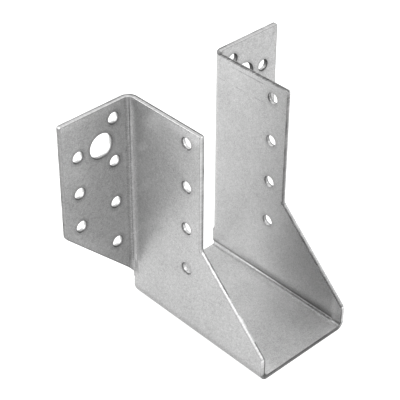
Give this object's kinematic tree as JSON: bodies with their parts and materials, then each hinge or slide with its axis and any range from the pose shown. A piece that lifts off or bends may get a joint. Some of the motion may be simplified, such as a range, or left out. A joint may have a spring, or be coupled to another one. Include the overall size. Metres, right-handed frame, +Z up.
{
  "type": "joist hanger",
  "caption": "Face-fixed joist hanger folded from one galvanised sheet: a U-shaped seat with slanted cheeks and two outward flanges punched for nails and bolts.",
  "frame": {"origin": "centre of the bounding box in plan, level with the underside of the seat", "axes": "+X across the joist, +Y towards the header beam (the flanges' back faces look along +Y), +Z up"},
  "size_m": [0.116, 0.0776, 0.0985],
  "materials": {
    "zinc_steel": "galvanised sheet, satin and faintly mottled"
  },
  "bodies": {
    "root": {"hanger": "zinc_steel"}
  },
  "joints": []
}
